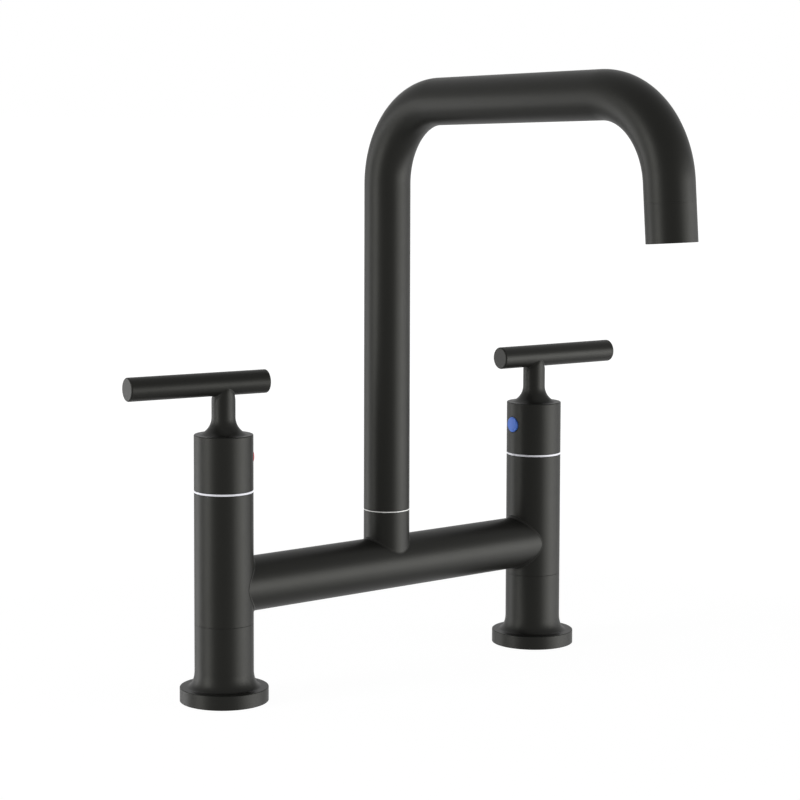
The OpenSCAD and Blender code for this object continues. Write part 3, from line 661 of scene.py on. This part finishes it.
def handle_grid():
    """Grid of the handle, with +X towards the button. Most rows turn the outline about the axis. The
    band with the button is a square window of the side: its lines k steps from the middle are moved
    onto circles, which are in turn the seat's floor, the hole's wall, its rounded rim and the side,
    and they blend back to the square, so that the window fits the turned rows round it."""
    hole_r = BUTTON_R + BUTTON_GAP
    index = np.arange(-WINDOW_STEPS, WINDOW_STEPS + 1)
    side_turn = np.arcsin(WINDOW * index / WINDOW_STEPS / COLUMN_R)
    rest = np.linspace(side_turn[-1], 2 * np.pi + side_turn[0], REST_SIDES)[1:-1]
    turn = np.concatenate([side_turn, rest])
    lower, upper = cap_outlines()

    def ring_rows(outline):
        radius, height = outline[:, :1], outline[:, 1:]
        return np.stack(
            [radius * np.cos(turn), radius * np.sin(turn), height + 0 * turn], axis=2
        )

    # Window: place of each grid point on its circle, by how far round its square it lies
    i, j = np.meshgrid(index, index)
    ring = np.maximum(np.abs(i), np.abs(j))
    safe = np.maximum(ring, 1)
    along = np.where(i == ring, j, np.where(j == ring, 2 * ring - i, 0))
    along = np.where((i == -ring) & (j != ring), 4 * ring - j, along)
    along = np.where((j == -ring) & (i != -ring) & (i != ring), 6 * ring + i, along)
    angle = along / (8 * safe) * 2 * np.pi
    far = WINDOW_STEPS - HOLE_STEPS
    radii = np.concatenate(
        [
            np.linspace(0, hole_r - FIT_GAP, HOLE_STEPS + 1 - len(RIM_OUT_SHARES)),
            hole_r + HOLE_RIM * np.array(RIM_OUT_SHARES),
            np.linspace(hole_r + 3 * HOLE_RIM, WINDOW, far),
        ]
    )
    depths = np.concatenate(
        [
            np.full(HOLE_STEPS + 1 - len(RIM_DOWN_SHARES), -1.0),
            HOLE_RIM * np.array(RIM_DOWN_SHARES),
            np.zeros(far),
        ]
    )
    circle_r = radii[ring]
    blend = np.clip((ring - HOLE_STEPS) / far, 0, 1)
    y = (1 - blend) * circle_r * np.cos(angle) + blend * WINDOW * i / safe
    z = (1 - blend) * circle_r * np.sin(angle) + blend * WINDOW * j / safe
    side = np.sqrt(COLUMN_R**2 - y**2)
    depth = depths[ring]
    x = np.where(depth < 0, BUTTON_SEAT, side - np.maximum(depth, 0))
    pane = np.stack([x, y, z + BUTTON_H], axis=2)
    heights = BUTTON_H + WINDOW * index / WINDOW_STEPS
    plain = np.stack(
        [
            COLUMN_R * np.cos(rest) + 0 * heights[:, None],
            COLUMN_R * np.sin(rest) + 0 * heights[:, None],
            heights[:, None] + 0 * rest,
        ],
        axis=2,
    )
    band = np.concatenate([pane, plain], axis=1)

    # Neck: it narrows by the square of the way to the bead, the bead lies under the lever, and the
    # grid ends on the lever's axis
    bead = weld(NECK_TOP_R, LEVER_R - WELD_SINK, NECK_BEAD, turn)
    bead[..., 2] = LEVER_H - CAP_H0 - bead[..., 2]
    share = np.linspace(0, 1, TAPER_STEPS + 1)[:-1, None]
    radius = NECK_R + (NECK_TOP_R - NECK_R) * share**2
    height = bead[0, :, 2] - NECK_TAPER * (1 - share)
    taper = np.stack([radius * np.cos(turn), radius * np.sin(turn), height], axis=2)
    pole = np.zeros_like(bead[:1]) + [0, 0, LEVER_H - CAP_H0]
    return np.concatenate([ring_rows(lower), band, ring_rows(upper), taper, bead, pole])


def button_outline():
    """Outline of the crowned button from its back to the middle of its crown, from pole to pole."""
    body_l = COLUMN_R - BUTTON_SEAT + BUTTON_PROUD - FIT_GAP
    crown_r = (BUTTON_R**2 + BUTTON_CROWN**2) / (2 * BUTTON_CROWN)
    radius = np.linspace(CROWN_SHARE, 0, CROWN_STEPS + 1) * BUTTON_R
    height = body_l + BUTTON_CROWN - (crown_r - np.sqrt(crown_r**2 - radius**2))
    side = rounded(
        [
            (0, 0, 0),
            (BUTTON_R, 0, FINE_EDGE),
            (BUTTON_R, body_l, BUTTON_EDGE),
            (radius[0], height[0], 0),
        ],
        closed=False,
    )
    return np.concatenate([side, np.stack([radius, height], axis=1)[1:]])


def lever_outline():
    """Outline of the lever bar along its axis, from pole to pole."""
    length = LEVER_LONG + LEVER_SHORT
    return rounded(
        [
            (0, 0, 0),
            (LEVER_R, 0, LEVER_EDGE),
            (LEVER_R, length, LEVER_EDGE),
            (0, length, 0),
        ],
        closed=False,
    )


def along_x(points):
    """Points of a solid that was turned about Z, laid along +X."""
    return points[..., [2, 1, 0]] * np.array([1, 1, -1])


# Bridge and stub


def bridge_grid():
    """Grid of the bridge between the columns: bead, tube and bead outside, then the narrow ends and
    the wide bore inside. A ring point at turn t has z = r cos t and y = r sin t, and the ends follow
    the columns, at sqrt(column radius^2 - y^2) from their axes."""
    turn = np.arange(ROUND_SIDES) * 2 * np.pi / ROUND_SIDES
    bead = weld(BRIDGE_R, COLUMN_R - WELD_SINK, COLUMN_BEAD, turn)[::-1]
    half = -HOT_AXIS

    def inside(radius, shell_r=None, at=None):
        y = radius * np.sin(turn)
        w = np.sqrt(shell_r**2 - y**2) if at is None else np.full_like(y, at)
        return np.stack([radius * np.cos(turn), y, w], axis=-1)[None]

    straight = [bead[-1:] + np.array([0, 0, step]) for step in (SUPPORT, FAR_SUPPORT)]
    outer = np.concatenate([bead, *straight])
    inner = np.concatenate(
        [
            inside(BRIDGE_BORE_R, at=COLUMN_R + PORT_L),
            inside(PORT_BORE_R, at=COLUMN_R + PORT_L),
            inside(PORT_BORE_R, BODY_BORE_R),
            inside(PORT_R, BODY_BORE_R),
            inside(PORT_R, COLUMN_R - WELD_SINK),
        ]
    )
    left = np.concatenate([inner, outer])
    right = left[::-1]

    def laid(rows, sign):
        return np.stack([sign * (half - rows[..., 2]), rows[..., 1], BRIDGE_H + rows[..., 0]], axis=2)

    return np.concatenate([laid(left, -1), laid(right, 1)])


def stub_grid():
    """Grid of the spout's stub on the bridge: bead, side, rim, bore for the bush, bore for the nipple
    and spigot. The foot follows the bridge, at sqrt(bridge radius^2 - y^2) above its axis."""
    turn = np.arange(ROUND_SIDES) * 2 * np.pi / ROUND_SIDES
    carrying = BRIDGE_R - WELD_SINK
    bead = weld(STUB_R, carrying, STUB_BEAD, turn)[::-1]
    top = STUB_TOP - BRIDGE_H
    bush_seat = top - BUSH_L - FIT_GAP
    above = bead[-1:] + np.array([0, 0, SUPPORT])
    rim = rounded(
        [
            (STUB_R, top - FAR_SUPPORT, 0),
            (STUB_R, top, FINE_EDGE),
            (BUSH_R + FIT_GAP, top, FINE_EDGE),
            (BUSH_R + FIT_GAP, bush_seat, FINE_EDGE),
            (BUSH_BORE_R, bush_seat, FINE_EDGE),
            (BUSH_BORE_R, STUB_SPIGOT_H, FINE_EDGE),
            (STUB_SPIGOT_R, STUB_SPIGOT_H, FINE_EDGE),
            (STUB_SPIGOT_R, STUB_SPIGOT_H + 1, 0),
        ],
        closed=False,
    )[1:]
    side = turned(rim)
    y = STUB_SPIGOT_R * np.sin(turn)
    last = np.stack(
        [STUB_SPIGOT_R * np.cos(turn), y, np.sqrt(carrying**2 - y**2) - WELD_SINK], axis=-1
    )[None]
    grid = np.concatenate([bead, above, side, last])
    grid[..., 2] += BRIDGE_H
    return grid


def bush_outline():
    """Closed outline of the swivel bush, whose flange is the pale ring under the spout."""
    top = bush_high[2]
    return rounded(
        [
            (STUB_R, STUB_TOP, BUSH_EDGE),
            (STUB_R, top, BUSH_EDGE),
            (BUSH_BORE_R, top, BUSH_EDGE),
            (BUSH_BORE_R, STUB_TOP - BUSH_L, BUSH_EDGE),
            (BUSH_R, STUB_TOP - BUSH_L, BUSH_EDGE),
            (BUSH_R, STUB_TOP, 0),
        ],
        steps=BUSH_EDGE_STEPS,
    )


# Spout

BEND1_TURN = math.pi / 2 - ARM_RISE
BEND2_TURN = math.pi / 2 + ARM_RISE - DROP_LEAN
RISER_L = ARM_H - BEND_R - SPOUT_H0
ARM_L = (
    REACH
    - BEND_R * (1 - math.cos(BEND1_TURN))
    - BEND_R * (math.cos(BEND1_TURN) - math.cos(BEND1_TURN + BEND2_TURN))
) / math.sin(BEND1_TURN)
ARM_START = RISER_L + BEND_R * BEND1_TURN
BEND2_START = ARM_START + ARM_L
DROP_START = BEND2_START + BEND_R * BEND2_TURN


def spout_line(distance):
    """Centre line of the spout as (out, height, turn) by distance from its foot: riser, bend, arm,
    bend and drop. The direction at a turn is (sin turn, cos turn), and a bend adds
    bend radius * (-cos, sin) of its turn."""
    turn1 = np.clip((distance - RISER_L) / BEND_R, 0, BEND1_TURN)
    arm = np.clip(distance - ARM_START, 0, ARM_L)
    turn2 = np.clip((distance - BEND2_START) / BEND_R, 0, BEND2_TURN) + BEND1_TURN
    drop = np.clip(distance - DROP_START, 0, None)
    end = BEND1_TURN + BEND2_TURN
    out = BEND_R * (1 - np.cos(turn1)) + arm * math.sin(BEND1_TURN)
    out = out + BEND_R * (math.cos(BEND1_TURN) - np.cos(turn2)) + drop * math.sin(end)
    height = SPOUT_H0 + np.minimum(distance, RISER_L) + BEND_R * np.sin(turn1)
    height = height + arm * math.cos(BEND1_TURN)
    height = height + BEND_R * (np.sin(turn2) - math.sin(BEND1_TURN)) + drop * math.cos(end)
    return out, height, turn1 + turn2 - BEND1_TURN


def spout_grid():
    """Grid of the spout tube: a closed outline of (radius, distance) carried along the centre line. A
    ring point at turn t lies radius cos t sideways, and radius sin t out in the arch's plane."""
    length = DROP_START + DROP_L - NOZZLE_L
    bore_r = SPOUT_R - SPOUT_WALL
    ends = rounded(
        [
            (SPOUT_R, 0, FINE_EDGE),
            (SPOUT_R, length, NOZZLE_SEAM),
            (bore_r, length, FINE_EDGE),
            (bore_r, 0, FINE_EDGE),
        ]
    ).reshape(4, -1, 2)
    bends = np.concatenate(
        [
            np.linspace(RISER_L, ARM_START, BEND_STEPS + 1),
            np.linspace(BEND2_START, DROP_START, BEND_STEPS + 1),
        ]
    )
    stations = np.concatenate([[FAR_SUPPORT], bends])
    outer = np.stack([np.full(len(stations), SPOUT_R), stations], axis=1)
    inner = np.stack([np.full(len(stations), bore_r), stations[::-1]], axis=1)
    outline = np.concatenate([ends[0], outer, ends[1], ends[2], inner, ends[3]])
    radius, distance = outline[:, 0, None], outline[:, 1]
    out, height, tilt = (part[:, None] for part in spout_line(distance))
    turn = np.arange(ROUND_SIDES) * 2 * np.pi / ROUND_SIDES
    side, rise = radius * np.cos(turn), radius * np.sin(turn)
    return np.stack([side, rise * np.cos(tilt) - out, height + rise * np.sin(tilt)], axis=2)


def nozzle_outline():
    """Closed outline of the nozzle sleeve, from its lip up to the spigot inside the tube."""
    spigot_top = NOZZLE_L + NOZZLE_SPIGOT_L
    return rounded(
        [
            (SPOUT_R, 0, NOZZLE_EDGE),
            (SPOUT_R, NOZZLE_L, NOZZLE_SEAM),
            (NOZZLE_SPIGOT_R, NOZZLE_L, 0),
            (NOZZLE_SPIGOT_R, spigot_top, FINE_EDGE),
            (NOZZLE_BORE_R, spigot_top, FINE_EDGE),
            (NOZZLE_BORE_R, NOZZLE_THREAD_L, FINE_EDGE),
            (NOZZLE_THREAD_R, NOZZLE_THREAD_L, FINE_EDGE),
            (NOZZLE_THREAD_R, 0, FINE_EDGE),
        ]
    )


def aerator_outline():
    """Closed outline of the aerator's ring, from the sleeve's lip up, with a lip under the screen."""
    top = AERATOR_RECESS + AERATOR_L
    lip = AERATOR_RECESS + AERATOR_LIP_T
    return rounded(
        [
            (AERATOR_R, AERATOR_RECESS, AERATOR_EDGE),
            (AERATOR_R, top, FINE_EDGE),
            (AERATOR_BORE_R, top, FINE_EDGE),
            (AERATOR_BORE_R, lip, 0),
            (AERATOR_LIP_R, lip, AERATOR_BACK_EDGE),
            (AERATOR_LIP_R, AERATOR_RECESS, AERATOR_LIP_EDGE),
        ]
    )


# Pieces that come in pairs
for side, axis, turn, paint, slot in (
    ("hot", HOT_AXIS, HOT_TURN, red, "hot_red"),
    ("cold", -HOT_AXIS, COLD_TURN, blue, "cold_blue"),
):
    stand = (axis, 0, 0)
    handle = side + "_handle"
    skin(side + "_flanged_foot", placed(turned(foot_outline(), wave=inlet_thread), base=stand), "base",
         black, [side + "_foot"])
    skin(side + "_gasket", placed(turned(gasket_outline()), base=stand), "base", rubber,
         [side + "_deck_gasket"])
    skin(side + "_column", placed(turned(column_outline()), base=stand), "base",
         black, [side + "_column_body"])
    skin(side + "_pale_ring", placed(turned(glide_outline()), base=stand), "base",
         pale, [side + "_glide_ring"])
    skin(side + "_cap_and_neck", placed(handle_grid(), turn_z=turn, base=(axis, 0, CAP_H0)), handle,
         black, [side + "_handle_cap"], closed=False)
    bar = along_x(turned(lever_outline())) * np.array([-1, 1, 1]) + np.array([LEVER_SHORT, 0, 0])
    skin(side + "_lever", placed(bar, turn_z=turn, base=(axis, 0, LEVER_H)), handle,
         black, [side + "_lever_bar"], closed=False)
    button = along_x(turned(button_outline())) + np.array([BUTTON_SEAT + FIT_GAP, 0, 0])
    skin(side + "_button", placed(button, turn_z=turn, base=(axis, 0, CAP_H0 + BUTTON_H)), handle,
         paint, [side + "_index_button"], closed=False)

skin("bridge", bridge_grid(), "base", black, ["bridge_tube"])
skin("spout_stub", stub_grid(), "base", black, ["spout_socket"])
skin("spout_ring", turned(bush_outline()), "base", white, ["swivel_bush"])
skin("spout", spout_grid(), "spout", black, ["spout_tube"])

outlet_out, outlet_height, outlet_turn = spout_line(np.array([DROP_START + DROP_L]))
OUTLET = (0, -outlet_out[0], outlet_height[0])
for name, outline, node in (
    ("nozzle_sleeve", nozzle_outline(), "nozzle"),
    ("outlet_ring", aerator_outline(), "aerator_ring"),
):
    skin(name, placed(turned(outline), turn_x=-DROP_LEAN, base=OUTLET), "spout",
         black, [node])

# Finishes of the frame's own solids, most of them out of sight
FINISHES = {
    "rubber": rubber, "brass": brass, "ceramic": ceramic, "steel": steel,
    "pale_plastic": pale, "screen_grey": grey, "matte_black": black,
    "hot_red": red, "cold_blue": blue,
}
for part in frame["record"]["subparts"]:
    solid = frame["nodes"][part["node"]]
    solid.data.materials.clear()
    solid.data.materials.append(FINISHES[part["material_slot"]])


# Stage. The floor's rings and level are in millimetres, and in metres are the radii between which its
# shadow fades and the places and sizes of lamps and camera.
FLOOR_RINGS = (0, 500, 2000, 30000)
FLOOR_SIDES = 96
FLOOR_H = -0.05
FLOOR_GREY = 0.86
FLOOR_GLOW = 1.08
SHADOW_SHARE = 0.1
SHADOW_FULL_R = 0.25
SHADOW_END_R = 0.6
FILL = 0.15
LIT_PLACE = (0, -0.06, 0.13)
LAMP_DISTANCE = 2
SENSOR_W = 36
FOCAL_LENGTH = 107.628
SHIFT = (0.0325, -0.14)
EYE = (-0.7643576, -0.9334423, 0.2923102)
EYE_YAW = math.radians(38.996)
EYE_PITCH = math.radians(4.5773)
EYE_ROLL = math.radians(0.1266)
SIGHT = 100


def floor_grid():
    """Flat floor as a grid of rings, so that it stays one plain disc."""
    turn = np.arange(FLOOR_SIDES) * 2 * np.pi / FLOOR_SIDES
    radius = np.array(FLOOR_RINGS)[:, None]
    return np.stack([radius * np.cos(turn), radius * np.sin(turn), FLOOR_H + 0 * radius * turn], axis=2)


def pale_floor():
    """White floor. To the camera it is mostly plain white, which hides its far edge, and near the
    object it keeps a share of the light that falls on it, with the object's shadow."""
    look = Look("pale_floor")
    rays = look.node("ShaderNodeLightPath").outputs
    seen = look.node("ShaderNodeMath", {"operation": "MAXIMUM"},
                     {0: rays["Is Camera Ray"], 1: rays["Is Glossy Ray"]})
    seen = look.node("ShaderNodeMath", {"operation": "MAXIMUM"},
                     {0: seen.outputs[0], 1: rays["Is Transmission Ray"]})
    apart = look.node("ShaderNodeVectorMath", {"operation": "LENGTH"}, {0: look.places})
    near = look.node("ShaderNodeMapRange", {"interpolation_type": "SMOOTHSTEP"},
                     {"Value": apart.outputs["Value"], "From Min": SHADOW_FULL_R,
                      "From Max": SHADOW_END_R, "To Min": 1 - SHADOW_SHARE, "To Max": 1})
    share = Value(look, seen.outputs[0]) * Value(look, near.outputs[0])
    matte = look.node("ShaderNodeBsdfDiffuse", None, {"Color": (FLOOR_GREY, FLOOR_GREY, FLOOR_GREY, 1)})
    glow = look.node("ShaderNodeEmission", None, {"Color": (1, 1, 1, 1), "Strength": FLOOR_GLOW})
    mixed = look.node("ShaderNodeMixShader", None,
                      {0: share, 1: matte.outputs[0], 2: glow.outputs[0]})
    look.tree.links.new(mixed.outputs[0], look.output.inputs["Surface"])
    return look.material


def floor():
    """The floor under the faucet."""
    grid = floor_grid()
    rows, columns = grid.shape[:2]
    row = np.arange(rows - 1)[:, None] * columns
    column = np.arange(columns)[None, :]
    next_column = (column + 1) % columns
    faces = np.stack(
        [row + column, row + columns + column, row + columns + next_column, row + next_column], axis=2
    ).reshape(-1, 4)
    mesh = bpy.data.meshes.new("floor")
    mesh.from_pydata((grid.reshape(-1, 3) * MM).tolist(), [], faces.tolist())
    mesh.materials.append(pale_floor())
    plane = bpy.data.objects.new("floor", mesh)
    bpy.context.scene.collection.objects.link(plane)
    # The softboxes reach below the floor's level, and their light passes it, as round a glass table
    plane.visible_shadow = False
    plane.visible_glossy = False


def softbox(name, azimuth, elevation, size, brightness):
    """Soft rectangular lamp that faces the faucet from a direction. Its power is pi times its area
    times its brightness."""
    lamp = bpy.data.lights.new(name, "AREA")
    lamp.shape = "RECTANGLE"
    lamp.size, lamp.size_y = size
    lamp.energy = math.pi * size[0] * size[1] * brightness
    holder = bpy.data.objects.new(name, lamp)
    bpy.context.scene.collection.objects.link(holder)
    azimuth, elevation = math.radians(azimuth), math.radians(elevation)
    away = Vector(
        (
            math.cos(azimuth) * math.cos(elevation),
            math.sin(azimuth) * math.cos(elevation),
            math.sin(elevation),
        )
    )
    holder.location = Vector(LIT_PLACE) + LAMP_DISTANCE * away
    holder.rotation_euler = (-away).to_track_quat("-Z", "Y").to_euler()


def world_light():
    """World that is plain white to the camera and in reflections, and a dimmer fill for the rest."""
    world = bpy.data.worlds.new("studio")
    bpy.context.scene.world = world
    world.use_nodes = True
    tree = world.node_tree
    tree.nodes.clear()
    rays = tree.nodes.new("ShaderNodeLightPath").outputs
    first = tree.nodes.new("ShaderNodeMath")
    first.operation = "MAXIMUM"
    tree.links.new(rays["Is Camera Ray"], first.inputs[0])
    tree.links.new(rays["Is Glossy Ray"], first.inputs[1])
    seen = tree.nodes.new("ShaderNodeMath")
    seen.operation = "MAXIMUM"
    tree.links.new(first.outputs[0], seen.inputs[0])
    tree.links.new(rays["Is Transmission Ray"], seen.inputs[1])
    white = tree.nodes.new("ShaderNodeBackground")
    white.inputs["Strength"].default_value = 1.0
    fill = tree.nodes.new("ShaderNodeBackground")
    fill.inputs["Strength"].default_value = FILL
    for node in (white, fill):
        node.inputs["Color"].default_value = (1, 1, 1, 1)
    mixed = tree.nodes.new("ShaderNodeMixShader")
    output = tree.nodes.new("ShaderNodeOutputWorld")
    tree.links.new(seen.outputs[0], mixed.inputs[0])
    tree.links.new(fill.outputs[0], mixed.inputs[1])
    tree.links.new(white.outputs[0], mixed.inputs[2])
    tree.links.new(mixed.outputs[0], output.inputs["Surface"])


def camera():
    """Camera at the photograph's viewing angle."""
    lens = bpy.data.cameras.new("camera")
    lens.sensor_width = SENSOR_W
    lens.lens = FOCAL_LENGTH
    lens.shift_x, lens.shift_y = SHIFT
    lens.clip_end = SIGHT
    view = bpy.data.objects.new("camera", lens)
    bpy.context.scene.collection.objects.link(view)
    turn = (
        Matrix.Rotation(-EYE_YAW, 4, "Z")
        @ Matrix.Rotation(math.pi / 2 - EYE_PITCH, 4, "X")
        @ Matrix.Rotation(EYE_ROLL, 4, "Z")
    )
    view.matrix_world = Matrix.Translation(EYE) @ turn
    bpy.context.scene.camera = view


floor()
world_light()
camera()
softbox("left_softbox", azimuth=168, elevation=1, size=(0.85, 1.7), brightness=8.3)
softbox("left_back_softbox", azimuth=120, elevation=-6, size=(0.85, 1.15), brightness=4.4)
softbox("right_softbox", azimuth=300, elevation=-6, size=(1.77, 1.15), brightness=6.6)
softbox("right_back_softbox", azimuth=324, elevation=-14, size=(1.73, 1.78), brightness=2.9)

bpy.context.scene.view_settings.view_transform = "Standard"
